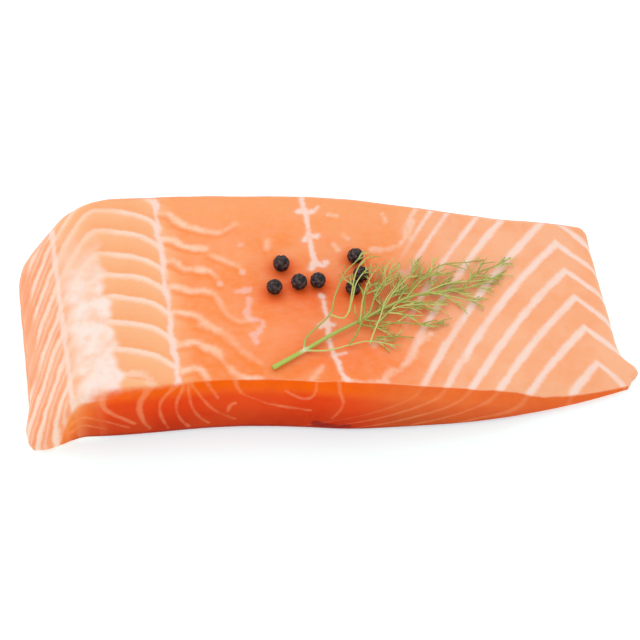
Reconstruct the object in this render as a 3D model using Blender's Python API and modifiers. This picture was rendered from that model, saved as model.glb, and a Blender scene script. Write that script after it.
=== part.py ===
"""A raw salmon fillet portion with seven black peppercorns and a sprig of dill lying on it.

The portion is cut across a side of salmon: the thick back of the fish is at -X, the thin belly at +X,
and the fish's length runs along Y, so that the two ends in Y are cut faces. It lies on its flat underside
at Z = 0, and every size is in metres.
"""

import math

import bmesh
import bpy
import numpy as np
from mathutils import Vector, noise

MM = 0.001

# The portion's outline on the board.
BACK_EDGE_FRONT = -83.0 * MM
BACK_EDGE_REAR = -97.2 * MM
BELLY_EDGE_FRONT = 91.6 * MM
BELLY_EDGE_REAR = 83.9 * MM
BELLY_TIP = 4.3 * MM
BELLY_TIP_PLACE = 0.08
BELLY_TIP_SHARE = 0.09
FRONT_CUT = -33.0 * MM
REAR_CUT = 41.6 * MM
NOSE_REACH = 4.8 * MM
NOSE_START = -67.0 * MM
NOSE_LENGTH = 14.0 * MM
APRON_REACH = 3.9 * MM
APRON_START = -20.0 * MM
APRON_LENGTH = 50.0 * MM
SWELL_REACH = 1.0 * MM
SWELL_PLACE = 9.0 * MM
SWELL_LENGTH = 13.0 * MM
SWEEP_REACH = 14.0 * MM
SWEEP_START = 20.0 * MM
SWEEP_LENGTH = 73.0 * MM
FRONT_CORNER_BULGE = 1.5 * MM
FRONT_CORNER_PLACE = 0.07
FRONT_CORNER_SHARE = 0.08
REAR_CORNER_SLOPE = 61.0 * MM
REAR_CORNER_START = 0.8
REAR_CORNER_BLEND = 0.02

# How thick it is from back to belly.
CROWN_THICKNESS = 22.0 * MM
BELLY_SLOPE = 0.2
BELLY_SLOPE_START = 2.0 * MM
BELLY_SLOPE_BLEND = 6.0 * MM
SHOULDER_DROP = 1.5 * MM
SHOULDER_START = -25.0 * MM
SHOULDER_LENGTH = 45.0 * MM
BACK_EDGE_THICKNESS = 2.4 * MM
FLANK_LENGTH = 29.0 * MM
FLANK_LENGTH_AT_NOSE = 17.0 * MM
NOSE_SHARE = 0.14
FLANK_LENGTH_AT_REAR = 24.0 * MM
REAR_BELLY_RISE = 1.6 * MM
REAR_BELLY_START = 48.0 * MM
REAR_BELLY_LENGTH = 30.0 * MM
REAR_SHARE = 0.2
FLANK_ROUNDNESS = 2.2
FLANK_FULLNESS = 0.7
WAVE_HEIGHT = 0.35 * MM
WAVE_ACROSS = 15.0 * MM
WAVE_ALONG = 5.0

# How its edges are rounded.
TOP_ROUNDING = 2.8 * MM
UNDER_ROUNDING = 1.3 * MM
BELLY_ROUNDING = 2.6 * MM
LIP_ROUNDING = 9.0 * MM
LIP_START = 44.0 * MM
LIP_LENGTH = 26.0 * MM
LIP_DEPTH = 0.3
THICKNESS_SHARE = 0.45
LIP_SHARE = 0.75

# Where the cage of the portion is sliced: two close cuts at every edge, then even steps.
EDGE_SLICES = (1.1 * MM, 3.6 * MM)
SLICES_ACROSS = 14
SLICES_ALONG = 5
SLICES_UP = 1
SMOOTHING_LEVELS = 1
FITTING_ROUNDS = 5

# What lies on it, and the air left under it.
GAP = 0.3 * MM
PEPPERCORN_WRINKLE = 0.16 * MM
WRINKLES_PER_RADIUS = 3.2
PEPPERCORN_TURN = math.radians(40.0)
# Each peppercorn: across, along, diameter, and its height over its diameter.
PEPPERCORNS = (
    (-11.5 * MM, 9.8 * MM, 4.9 * MM, 1.06),
    (-13.4 * MM, 0.8 * MM, 4.7 * MM, 0.97),
    (-6.2 * MM, 2.9 * MM, 4.9 * MM, 0.95),
    (-0.6 * MM, 3.8 * MM, 4.7 * MM, 1.0),
    (10.6 * MM, 15.0 * MM, 4.8 * MM, 0.98),
    (12.2 * MM, 7.9 * MM, 4.8 * MM, 1.02),
    (9.9 * MM, 2.3 * MM, 4.7 * MM, 0.98),
)

STEM_RADIUS = 0.7 * MM
STEM_TIP_RADIUS = 0.3 * MM
BRANCH_RADIUS = 0.36 * MM
BRANCH_TIP_RADIUS = 0.24 * MM
ROUTE_STEP = 2.0 * MM
TUBE_RESOLUTION = 2
# Each route's points: across, along and height over the flesh, in millimetres.
STEM_ROUTE = (
    (-13.4, -28.4, 1.1),
    (-4.6, -22.2, 1.4),
    (4.9, -14.9, 1.7),
    (11.5, -10.2, 2.0),
    (19.5, -3.8, 2.3),
    (28.0, 2.2, 2.2),
    (37.5, 5.9, 1.9),
    (46.3, 9.4, 1.6),
    (56.0, 16.6, 1.2),
)
BRANCH_ROUTES = (
    ((-4.6, -22.2, 1.4), (-3.7, -17.6, 1.9), (2.8, -9.4, 2.6), (4.3, -2.8, 3.0), (7.2, 5.2, 3.4)),
    ((-4.6, -22.2, 1.4), (2.2, -21.8, 1.2), (8.5, -19.2, 1.2), (14.3, -17.1, 1.3), (21.8, -17.4, 1.2)),
    ((8.5, -19.2, 1.2), (10.9, -14.9, 2.4), (12.9, -8.6, 3.8), (13.2, -3.2, 3.8)),
    ((10.2, -11.0, 1.9), (16.2, -11.6, 1.6), (22.5, -8.9, 1.7), (30.0, -8.3, 1.5), (38.4, -5.6, 1.2)),
    ((18.5, -4.6, 2.2), (22.2, 2.6, 2.9), (27.0, 9.5, 2.8), (30.2, 17.6, 2.2)),
    ((25.5, 0.8, 2.2), (30.0, 7.7, 2.6), (36.6, 15.7, 2.2), (45.5, 20.1, 1.6)),
    ((43.0, 8.0, 1.7), (47.6, 14.4, 2.0), (53.1, 18.9, 1.6), (59.0, 24.5, 1.2)),
)

FLESH_COLOUR = (0.86, 0.30, 0.10, 1.0)
PEPPER_COLOUR = (0.012, 0.009, 0.010, 1.0)
DILL_COLOUR = (0.30, 0.42, 0.10, 1.0)


def clear_scene():
    for old in list(bpy.data.objects):
        bpy.data.objects.remove(old, do_unlink=True)


def new_collection(name):
    collection = bpy.data.collections.new(name)
    bpy.context.scene.collection.children.link(collection)
    return collection


def new_material(name, colour, roughness):
    material = bpy.data.materials.new(name)
    material.use_nodes = True
    shader = material.node_tree.nodes["Principled BSDF"]
    shader.inputs["Base Color"].default_value = colour
    shader.inputs["Roughness"].default_value = roughness
    shader.inputs["Metallic"].default_value = 0.0
    return material


def new_object(name, mesh, collection, material):
    body = bpy.data.objects.new(name, mesh)
    collection.objects.link(body)
    mesh.materials.clear()
    mesh.materials.append(material)
    return body


def smoothstep(share):
    share = np.clip(share, 0.0, 1.0)
    return share * share * (3.0 - 2.0 * share)


def blend(start, end, share):
    return start + (end - start) * share


def back_edge(along):
    """X of the back's edge, from the front cut (0) to the rear cut (1)."""
    front_corner = FRONT_CORNER_BULGE * np.exp(-(((along - FRONT_CORNER_PLACE) / FRONT_CORNER_SHARE) ** 2))
    past_corner = np.logaddexp(0.0, (along - REAR_CORNER_START) / REAR_CORNER_BLEND)
    rear_corner = REAR_CORNER_SLOPE * REAR_CORNER_BLEND * past_corner
    return blend(BACK_EDGE_FRONT, BACK_EDGE_REAR, along) - front_corner + rear_corner


def belly_edge(along):
    """X of the belly's edge, with the small tip that hangs out near the front cut."""
    tip = BELLY_TIP * np.exp(-(((along - BELLY_TIP_PLACE) / BELLY_TIP_SHARE) ** 2))
    return blend(BELLY_EDGE_FRONT, BELLY_EDGE_REAR, along) + tip


def front_edge(x):
    """Y of the front cut: drawn out at the back's corner and swept away towards the belly."""
    nose = NOSE_REACH * smoothstep((NOSE_START - x) / NOSE_LENGTH)
    apron = APRON_REACH * smoothstep((APRON_START - x) / APRON_LENGTH)
    swell = SWELL_REACH * np.exp(-(((x - SWELL_PLACE) / SWELL_LENGTH) ** 2))
    sweep = SWEEP_REACH * (np.maximum(x - SWEEP_START, 0.0) / SWEEP_LENGTH) ** 2
    return FRONT_CUT - nose - apron - swell + sweep


def thickness(x, along):
    """Height of the flesh: a flat crown, a long fall to the belly and a rounded flank at the back."""
    fall = np.logaddexp(0.0, (x - BELLY_SLOPE_START) / BELLY_SLOPE_BLEND)
    crown = CROWN_THICKNESS - BELLY_SLOPE * BELLY_SLOPE_BLEND * fall
    crown = crown - SHOULDER_DROP * smoothstep((SHOULDER_START - x) / SHOULDER_LENGTH)
    crown = crown + WAVE_HEIGHT * np.sin(x / WAVE_ACROSS) * np.cos(along * WAVE_ALONG)
    at_rear = smoothstep((along - 1.0) / REAR_SHARE + 1.0)
    crown = crown + REAR_BELLY_RISE * at_rear * smoothstep((x - REAR_BELLY_START) / REAR_BELLY_LENGTH)
    at_nose = np.exp(-along / NOSE_SHARE)
    flank = blend(FLANK_LENGTH, FLANK_LENGTH_AT_NOSE, at_nose)
    flank = blend(flank, FLANK_LENGTH_AT_REAR, at_rear)
    share = np.clip((x - back_edge(along)) / flank, 0.0, 1.0)
    domed = (1.0 - (1.0 - share) ** FLANK_ROUNDNESS) ** FLANK_FULLNESS
    rise = blend(domed, smoothstep(share), at_nose)
    return blend(BACK_EDGE_THICKNESS, crown, rise)


def edge_pull(low, high, low_radius, high_radius):
    """How far into an edge's rounding a point is: -1 at the low face, +1 at the high face, 0 between."""
    at_low = np.clip(1.0 - low / low_radius, 0.0, 1.0)
    at_high = np.clip(1.0 - high / high_radius, 0.0, 1.0)
    return at_high - at_low


def rounded_place(pull, length, low_radius, high_radius, flat_place):
    """The point's distance from the low face after rounding."""
    at_low = low_radius * (1.0 + pull)
    at_high = length - high_radius * (1.0 - pull)
    return np.where(pull < 0.0, at_low, np.where(pull > 0.0, at_high, flat_place))


def fillet_form(across, along, up):
    """Bends a unit box into the portion: across to the belly, along to the rear cut, up from the board."""
    left = back_edge(along)
    width = belly_edge(along) - left
    x = left + across * width
    depth = REAR_CUT - front_edge(x)
    height = thickness(x, along)

    lip = smoothstep((x - LIP_START) / LIP_LENGTH)
    front_radius = blend(TOP_ROUNDING, LIP_ROUNDING, lip)
    lip_drop = blend(TOP_ROUNDING, height * LIP_SHARE, lip * (1.0 - smoothstep(along / LIP_DEPTH)))
    top_radius = np.minimum(lip_drop, height * blend(THICKNESS_SHARE, LIP_SHARE, lip))
    under_radius = np.minimum(UNDER_ROUNDING, height * THICKNESS_SHARE)

    pull_x = edge_pull(across * width, (1.0 - across) * width, UNDER_ROUNDING, BELLY_ROUNDING)
    pull_y = edge_pull(along * depth, (1.0 - along) * depth, front_radius, TOP_ROUNDING)
    pull_z = edge_pull(up * height, (1.0 - up) * height, under_radius, top_radius)
    length = np.maximum(np.sqrt(pull_x**2 + pull_y**2 + pull_z**2), 1.0)

    x = left + rounded_place(pull_x / length, width, UNDER_ROUNDING, BELLY_ROUNDING, across * width)
    y = front_edge(x) + rounded_place(pull_y / length, depth, front_radius, TOP_ROUNDING, along * depth)
    z = rounded_place(pull_z / length, height, under_radius, top_radius, up * height)
    return np.stack((x, y, z), axis=1)


def slice_places(length, even_slices):
    """Where one side of the unit box is sliced, as shares of that side."""
    close = [cut / length for cut in EDGE_SLICES]
    spread = [close[-1] + (1.0 - 2.0 * close[-1]) * (i + 1) / (even_slices + 1) for i in range(even_slices)]
    return close + spread + [1.0 - cut for cut in reversed(close)]


def sliced_box():
    """A unit box from (0, 0, 0) to (1, 1, 1), sliced into the cage that is bent into the portion."""
    mesh = bmesh.new()
    bmesh.ops.create_cube(mesh, size=1.0)
    bmesh.ops.translate(mesh, verts=mesh.verts, vec=(0.5, 0.5, 0.5))
    sides = (
        (Vector((1.0, 0.0, 0.0)), BELLY_EDGE_FRONT - BACK_EDGE_FRONT, SLICES_ACROSS),
        (Vector((0.0, 1.0, 0.0)), REAR_CUT - FRONT_CUT, SLICES_ALONG),
        (Vector((0.0, 0.0, 1.0)), CROWN_THICKNESS, SLICES_UP),
    )
    for axis, length, even_slices in sides:
        for place in slice_places(length, even_slices):
            everything = list(mesh.verts) + list(mesh.edges) + list(mesh.faces)
            bmesh.ops.bisect_plane(mesh, geom=everything, plane_co=axis * place, plane_no=axis, dist=1e-6)
    return mesh


def fit_to_form(fillet, form):
    """Smoothing draws the cage in, so the cage is moved out until its smoothed points lie on the form."""
    mesh = fillet.data
    for _ in range(FITTING_ROUNDS):
        bpy.context.view_layer.update()
        smoothed = fillet.evaluated_get(bpy.context.evaluated_depsgraph_get()).data
        for vertex, aim in zip(mesh.vertices, form):
            vertex.co += Vector(aim) - smoothed.vertices[vertex.index].co
            vertex.co.z = max(vertex.co.z, 0.0)
        mesh.update()


def make_fillet(collection):
    cage = sliced_box()
    corners = np.array([vertex.co for vertex in cage.verts])
    form = fillet_form(*corners.T)
    for vertex, place in zip(cage.verts, form):
        vertex.co = place
    mesh = bpy.data.meshes.new("salmon_fillet")
    cage.to_mesh(mesh)
    cage.free()
    mesh.shade_smooth()
    fillet = new_object("salmon_fillet", mesh, collection, new_material("salmon_flesh", FLESH_COLOUR, 0.35))
    smoothing = fillet.modifiers.new("soft_form", "SUBSURF")
    smoothing.levels = SMOOTHING_LEVELS
    smoothing.render_levels = SMOOTHING_LEVELS
    fit_to_form(fillet, form)
    return fillet


def flesh_finder(fillet):
    """Gives a function from a place on the board to the height of the flesh above it."""
    bpy.context.view_layer.update()
    surface = fillet.evaluated_get(bpy.context.evaluated_depsgraph_get())

    def height(x, y):
        above = Vector((x, y, 2.0 * CROWN_THICKNESS))
        return surface.ray_cast(above, Vector((0.0, 0.0, -1.0)))[1].z

    return height


def peppercorn_mesh(name, diameter, tallness):
    """A dried berry: a sphere, slightly uneven, with wrinkles."""
    ball = bmesh.new()
    bmesh.ops.create_icosphere(ball, subdivisions=3, radius=diameter / 2.0)
    own_place = Vector((diameter / MM, tallness * 10.0, 0.0))
    for vertex in ball.verts:
        outward = vertex.co.normalized()
        wrinkle = noise.noise(outward * WRINKLES_PER_RADIUS + own_place)
        vertex.co -= outward * PEPPERCORN_WRINKLE * (0.5 + 0.5 * wrinkle)
        vertex.co.z *= tallness
    mesh = bpy.data.meshes.new(name)
    ball.to_mesh(mesh)
    ball.free()
    mesh.shade_smooth()
    return mesh


def make_peppercorns(collection, flesh_height):
    material = new_material("black_pepper", PEPPER_COLOUR, 0.45)
    for number, (x, y, diameter, tallness) in enumerate(PEPPERCORNS, start=1):
        name = f"peppercorn_{number}"
        berry = new_object(name, peppercorn_mesh(name, diameter, tallness), collection, material)
        berry.location = (x, y, flesh_height(x, y) + diameter * tallness / 2.0 + GAP)
        berry.rotation_euler.z = PEPPERCORN_TURN * number


def smooth_route(knots):
    """Points about ROUTE_STEP apart on a Catmull-Rom curve through the knots."""
    knots = [Vector(knot) * MM for knot in knots]
    padded = [knots[0] * 2.0 - knots[1]] + knots + [knots[-1] * 2.0 - knots[-2]]
    route = []
    for before, start, end, after in zip(padded, padded[1:], padded[2:], padded[3:]):
        steps = max(1, round((end - start).length / ROUTE_STEP))
        for step in range(steps):
            t = step / steps
            bend = (2.0 * before - 5.0 * start + 4.0 * end - after) * t * t
            twist = (3.0 * start - before - 3.0 * end + after) * t * t * t
            route.append((2.0 * start + (end - before) * t + bend + twist) / 2.0)
    return route + [knots[-1]]


def tube(name, route, start_radius, end_radius, flesh_height, collection, material):
    """A tapering closed tube whose route is given over the flesh."""
    curve = bpy.data.curves.new(name, "CURVE")
    curve.dimensions = "3D"
    curve.bevel_depth = 1.0
    curve.bevel_resolution = TUBE_RESOLUTION
    curve.use_fill_caps = True
    spline = curve.splines.new("POLY")
    spline.points.add(len(route) - 1)
    for index, (point, (x, y, over)) in enumerate(zip(spline.points, route)):
        point.co = (x, y, flesh_height(x, y) + over, 1.0)
        point.radius = blend(start_radius, end_radius, index / (len(route) - 1))
    rod = bpy.data.objects.new(name + "_curve", curve)
    collection.objects.link(rod)
    bpy.context.view_layer.update()
    solid = rod.evaluated_get(bpy.context.evaluated_depsgraph_get())
    mesh = bpy.data.meshes.new_from_object(solid)
    mesh.name = name
    mesh.transform(rod.matrix_world)
    bpy.data.objects.remove(rod)
    bpy.data.curves.remove(curve)
    closed = bmesh.new()
    closed.from_mesh(mesh)
    bmesh.ops.remove_doubles(closed, verts=closed.verts, dist=0.01 * MM)
    closed.to_mesh(mesh)
    closed.free()
    return new_object(name, mesh, collection, material)


def make_dill(collection, joined, flesh_height):
    """The sprig's stem and main branches as one solid."""
    material = new_material("dill_green", DILL_COLOUR, 0.5)
    route = smooth_route(STEM_ROUTE)
    sprig = tube("dill_sprig", route, STEM_RADIUS, STEM_TIP_RADIUS, flesh_height, collection, material)
    for number, knots in enumerate(BRANCH_ROUTES, start=1):
        route = smooth_route(knots)
        name = f"dill_branch_{number}"
        branch = tube(name, route, BRANCH_RADIUS, BRANCH_TIP_RADIUS, flesh_height, joined, material)
        branch.display_type = "WIRE"
        branch.hide_render = True
        union = sprig.modifiers.new(name, "BOOLEAN")
        union.operation = "UNION"
        union.object = branch


def centre_on_board(collections, fillet):
    """Moves everything so that the portion's box is centred on the origin."""
    bpy.context.view_layer.update()
    solid = fillet.evaluated_get(bpy.context.evaluated_depsgraph_get())
    places = np.array([vertex.co for vertex in solid.data.vertices])
    middle = (places.min(axis=0) + places.max(axis=0)) / 2.0
    for collection in collections:
        for body in collection.objects:
            body.location.x -= middle[0]
            body.location.y -= middle[1]


def main():
    clear_scene()
    parts = new_collection("salmon_fillet_with_dill_and_pepper")
    joined = new_collection("dill_branches_to_join")
    fillet = make_fillet(parts)
    flesh_height = flesh_finder(fillet)
    make_peppercorns(parts, flesh_height)
    make_dill(parts, joined, flesh_height)
    centre_on_board((parts, joined), fillet)


main()
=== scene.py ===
"""Looks for a raw salmon fillet portion with seven black peppercorns and a sprig of dill on it.

The flesh is the CAD form again on a fine grid, with its fat lines, seams and veins worked out from where they
run through the fish. Tables and names without a unit are in millimetres, in the frame in which the form was
designed; design_offset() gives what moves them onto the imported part. What goes into Blender is in metres.
"""

import math
import random

import bmesh
import bpy
import numpy as np
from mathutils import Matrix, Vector, noise


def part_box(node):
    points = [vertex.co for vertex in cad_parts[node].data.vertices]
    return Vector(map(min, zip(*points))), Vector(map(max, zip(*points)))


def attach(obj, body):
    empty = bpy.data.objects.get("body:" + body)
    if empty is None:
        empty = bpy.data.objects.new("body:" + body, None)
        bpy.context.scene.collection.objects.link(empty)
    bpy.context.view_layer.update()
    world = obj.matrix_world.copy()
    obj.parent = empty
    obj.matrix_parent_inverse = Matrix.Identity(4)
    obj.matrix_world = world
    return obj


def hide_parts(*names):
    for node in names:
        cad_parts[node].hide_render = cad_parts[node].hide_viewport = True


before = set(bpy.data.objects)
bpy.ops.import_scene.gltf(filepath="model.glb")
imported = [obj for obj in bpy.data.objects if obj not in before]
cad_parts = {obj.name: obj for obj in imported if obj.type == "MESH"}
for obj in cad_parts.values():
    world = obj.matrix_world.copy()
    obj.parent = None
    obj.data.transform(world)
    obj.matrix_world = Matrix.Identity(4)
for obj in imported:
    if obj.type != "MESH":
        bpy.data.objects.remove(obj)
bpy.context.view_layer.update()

MM = 0.001
RNG_SEED = 7

# ---- the form, as the CAD source has it
BACK_EDGE_FRONT = -83.0
BACK_EDGE_REAR = -97.2
BELLY_EDGE_FRONT = 91.6
BELLY_EDGE_REAR = 83.9
BELLY_TIP = 4.3
BELLY_TIP_PLACE = 0.08
BELLY_TIP_SHARE = 0.09
FRONT_CUT = -33.0
REAR_CUT = 41.6
NOSE_REACH = 4.8
NOSE_START = -67.0
NOSE_LENGTH = 14.0
APRON_REACH = 3.9
APRON_START = -20.0
APRON_LENGTH = 50.0
SWELL_REACH = 1.0
SWELL_PLACE = 9.0
SWELL_LENGTH = 13.0
SWEEP_REACH = 14.0
SWEEP_START = 20.0
SWEEP_LENGTH = 73.0
FRONT_CORNER_BULGE = 1.5
FRONT_CORNER_PLACE = 0.07
FRONT_CORNER_SHARE = 0.08
REAR_CORNER_SLOPE = 61.0
REAR_CORNER_START = 0.8
REAR_CORNER_BLEND = 0.02
CROWN_THICKNESS = 22.0
BELLY_SLOPE = 0.2
BELLY_SLOPE_START = 2.0
BELLY_SLOPE_BLEND = 6.0
SHOULDER_DROP = 1.5
SHOULDER_START = -25.0
SHOULDER_LENGTH = 45.0
BACK_EDGE_THICKNESS = 2.4
FLANK_LENGTH = 29.0
FLANK_LENGTH_AT_NOSE = 17.0
NOSE_SHARE = 0.14
FLANK_LENGTH_AT_REAR = 24.0
REAR_BELLY_RISE = 1.6
REAR_BELLY_START = 48.0
REAR_BELLY_LENGTH = 30.0
REAR_SHARE = 0.2
FLANK_ROUNDNESS = 2.2
FLANK_FULLNESS = 0.7
WAVE_HEIGHT = 0.35
WAVE_ACROSS = 15.0
WAVE_ALONG = 5.0
TOP_ROUNDING = 2.8
UNDER_ROUNDING = 1.3
BELLY_ROUNDING = 2.6
LIP_ROUNDING = 9.0
LIP_START = 44.0
LIP_LENGTH = 26.0
LIP_DEPTH = 0.3
THICKNESS_SHARE = 0.45
LIP_SHARE = 0.75

# ---- how finely the flesh is drawn
STEP = 0.56
EDGE_STEP = 0.32
EDGE_ZONE = 3.0
ROWS_UP = 30
UNDERSIDE_STRIDE = 6

# ---- fat lines
# The dorsal seam, where each stripe crosses it, and how they rise behind it and plunge down the flank.
DORSAL_SEAM = -45.3
DORSAL_SEAM_SLANT = -0.155
DORSAL_LINES = (58, 48, 38, 28.4, 19.8, 10.2, 2, -6.9, -16.7, -27.2, -38, -49, -60, -71)
DORSAL_RISE = 5.8
DORSAL_RISE_LENGTH = 4.2
DORSAL_RISE_SLOPE = 0.12
DORSAL_FALL = 0.4
FLANK_SEAM = -77.2
FLANK_SEAM_SLANT = -0.185
FLANK_REACH = 14.5
FLANK_PLUNGE = 2.1
FLANK_BEND = 5.5
DORSAL_FADE = (0.2, 1.8)

# The belly seam, and where each belly line would cross it.
BELLY_SEAM = 80.0
BELLY_SEAM_SLANT = -0.19
BELLY_BEND = 0.0055
BELLY_RIGHT_FALL = 0.95
BELLY_LINES = (92.4, 85.7, 78.6, 66.1, 57.1, 43.0, 32.9, 22.1, 11.4, 0.1, -13.2, -27.0)
BELLY_FADE = (22.0, 12.0)
BELLY_LEAN = 0.6
BELLY_LEAN_GROWTH = 0.055

# Veins of fat on top. A group has its routes' half widths at start and end, and then the routes.
CENTRAL_SEAM = (
    (0.62, 0.6),
    (
        (-5.9, 41.6), (-5.5, 37.5), (-5, 34.5), (-4.2, 31.5), (-3.7, 27.2), (-3.4, 24.3), (-2.9, 20.9),
        (-2.3, 16.8), (-1.5, 13.1),
    ),
    (
        (0.5, -0.1), (1.1, -2.4), (1.5, -5.6), (2, -8.3), (2.2, -11), (2.7, -16.7), (4, -22.3),
        (5.2, -24.7), (6.1, -28.6), (7.8, -31.2),
    ),
)
TWIGS = (
    (0.75, 0.4),
    ((-6.7, 33.7), (-4.8, 34.2), (-2.9, 33.3), (-0.7, 36.1)),
    ((-4.6, 21.8), (-3.4, 24.3), (-1.4, 23.3), (-0.6, 24.5)),
    ((-2.6, 10.4), (-1.5, 13.1), (0.8, 12), (2.2, 13.9)),
    ((0.1, -11.9), (1.8, -10.6), (3.8, -11)),
    ((4.2, -22.5), (7.4, -21.2)),
)
# Across, along, radius.
BLOBS = (
    (-5, 34.3, 1.2), (-6.2, 33.8, 0.9), (-2.6, 34, 0.9), (-3.5, 24, 0.9), (-4.4, 21.9, 0.8),
    (-0.9, 24, 0.6), (-1.5, 12.8, 1.1), (-2.5, 10.6, 0.9), (1.9, 13.4, 0.8), (0.5, -0.2, 1.2),
    (2.1, -10.9, 1.3), (0.6, -11.4, 0.9), (4.2, -22.4, 1.1),
)
# Soft veins and smears.
SOFT_VEINS = (
    (0.34, 0.45),
    ((15.8, 20.3), (20.4, 21.6), (23.8, 23.5), (25.9, 27), (27, 29.8), (28.5, 33.7), (29.3, 38.4)),
    ((32.6, -10), (28.9, -14.8), (26.4, -20.2), (23.4, -24.7), (20.6, -26.4), (18, -29.8)),
    ((6.8, -30.6), (8.5, -31.2), (12, -31.2), (15.4, -31), (18.9, -30.4)),
    ((3, 32.7), (4.8, 32.2)),
    ((4.2, 20.3), (5.6, 18.6)),
    ((7, 25.3), (8.2, 24.2)),
    ((19.6, 35.9), (20.2, 32.2)),
    ((15.4, -17.2), (18.8, -14.4)),
    ((-20.2, -31.6), (-18.2, -31.3), (-16.1, -31.6)),
)
# The dorsal stripe that turns down over the front edge before it reaches the seam.
LOOP = (
    (0.3, 0.6),
    (
        (-64, -34.4), (-61.4, -32.4), (-58.4, -30.4), (-55.6, -29.6), (-52.4, -29.3), (-49.4, -30.2),
        (-47.8, -33.6),
    ),
)
LOOP_ACROSS = (-60.0, 3.0)
LOOP_AHEAD = (27.0, 1.5)
# What is left of the dorsal stripes past the seam, and where two of them swell at the end.
STREAKS = (
    (0.62, 0.26),
    ((-49.6, 33.5), (-46.4, 33.1), (-43, 29.5), (-39.8, 27.2), (-33.4, 24.7), (-29.1, 25), (-25.7, 28)),
    ((-47.6, 22.5), (-44.2, 21.9), (-41.3, 19.5), (-37.5, 18.3), (-33.8, 17.7)),
    ((-32.8, 15.7), (-28.7, 12.8), (-24.3, 10.3), (-23.3, 8.3)),
    ((-46.3, 13.7), (-43.5, 13.1), (-40.9, 10.5), (-37.8, 9.9), (-33.8, 9.5), (-31.2, 7.2), (-29.3, 3.9)),
    (
        (-44.5, 3.4), (-41.7, 2.8), (-38, 1.4), (-34.1, 1.3), (-31, -0.4), (-29.4, -3.2), (-27.4, -7.5),
        (-23.1, -10.5), (-20.2, -9.7),
    ),
    ((-42.8, -6.2), (-39.4, -7.1), (-36.1, -8.2), (-33.9, -10.4), (-31.4, -12.8), (-29, -15.1)),
    ((-34.5, -11.5), (-29.6, -13.8), (-25.3, -18), (-22.3, -21.4), (-19.2, -24), (-16.8, -25.9)),
    (
        (-40.6, -19.2), (-36, -18.3), (-32.9, -19.9), (-29.6, -21.8), (-26.8, -26.3), (-23.8, -29.6),
        (-20.8, -31.5), (-17.9, -32.2),
    ),
    ((-39.2, -28.7), (-36.2, -27.7), (-33.5, -28.8), (-32, -31.6)),
    ((-16.2, 20.8), (-16.1, 17.8)),
    ((-2.2, -31.7), (0.2, -27.9), (0.8, -26.7)),
)
STREAK_ENDS = (
    (0.3, 0.85),
    ((-41, 19.3), (-37.5, 18.2), (-34.4, 17.7)),
    ((-40.4, 10.3), (-37.5, 9.8), (-34.6, 9.5)),
)
# A broken pinkish vein and its dots.
PINK_VEIN = (
    (0.42, 0.62),
    (
        (-20.9, -2), (-21, -4.3), (-21.4, -7.4), (-20.5, -9.4), (-17.8, -10.1), (-16.5, -10.9),
        (-17.1, -13.2), (-18.8, -16.6), (-18.2, -18.5),
    ),
    ((-24.6, 0.6), (-22.5, 1.1), (-21, 1.5)),
)
PINK_DOTS = (
    (-24.1, 19.2, 0.65), (-23.3, 8.3, 0.8), (-29.6, 3.9, 0.5), (-19, -15.6, 1), (-21.4, -7.4, 0.8),
    (24.6, 13.1, 1),
)
PEPPER_PLACES = ((-11.5, 9.8), (-13.4, 0.8), (-6.2, 2.9), (-0.6, 3.8), (10.6, 15), (12.2, 7.9), (9.9, 2.3))
# The painted warm shade round each peppercorn spreads from this radius about its place.
PEPPER_RADIUS = 2.4

# Arcs on the front cut: across and depth below the top; the broad ones first.
BROAD_ARCS = (
    (0.8, 0.3),
    ((-61.3, 0.5), (-62, 3.5), (-61.9, 5.9), (-61, 7.9), (-59.1, 10.1), (-56.7, 12.2), (-53.6, 14.9)),
    ((-47.7, 0), (-49.4, 1.6), (-51.2, 5), (-51.8, 8), (-51.5, 11.6), (-50.6, 15.4), (-49.4, 17.8)),
)
CUT_ARCS = (
    (0.24, 0.1),
    ((-39.6, 0), (-41.6, 1), (-43.8, 3.3), (-45.5, 6.5), (-46, 9.7), (-45.6, 13.6), (-44.2, 18.6)),
    ((-38.4, 0), (-39.4, 2.4), (-40.6, 5.5), (-41.2, 8.7), (-41.1, 12), (-40.1, 15.6), (-38.2, 18.8)),
    ((-37.5, 0), (-37.3, 3.7), (-37.2, 7), (-36.7, 9.9), (-35.8, 12.9), (-34.5, 15.5), (-32.4, 18)),
    ((-36.8, 0), (-35, 3.1), (-34.3, 5.1), (-32.7, 8.6), (-30.9, 11.7), (-28.9, 13.8), (-24.7, 16.7)),
    ((-32.6, 0), (-31.3, 1.8), (-30, 4.7), (-29.2, 6.7)),
    (
        (-24.2, 0), (-22.8, 4), (-20.9, 6.2), (-18.4, 7.6), (-15.8, 9.4), (-13, 10.3), (-9.5, 11.2),
        (-6.6, 11.7), (-2.9, 12.3),
    ),
    ((-24.4, 9.3), (-25.9, 10.5), (-26.7, 13.3)),
    ((-71.5, 8.5), (-67, 10.5), (-61.5, 13), (-55.5, 16.5)),
    ((-72.5, 11.5), (-67.5, 14), (-62, 16.5)),
    ((-9.7, 3.7), (-7.7, 5.4), (-5.4, 6.7), (-3.4, 6.7), (-2, 5.4), (-1.1, 2.5), (-0.9, 0)),
    ((5.4, 0), (5.7, 2.3), (6.4, 5), (6.7, 7.3), (6, 10.3), (4.5, 13.4), (3.5, 15.2)),
)
BLOOD_MARK = ((0.9, 0.6), ((-1.5, 18.2), (3, 18.8), (8.5, 17.8)))
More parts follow.
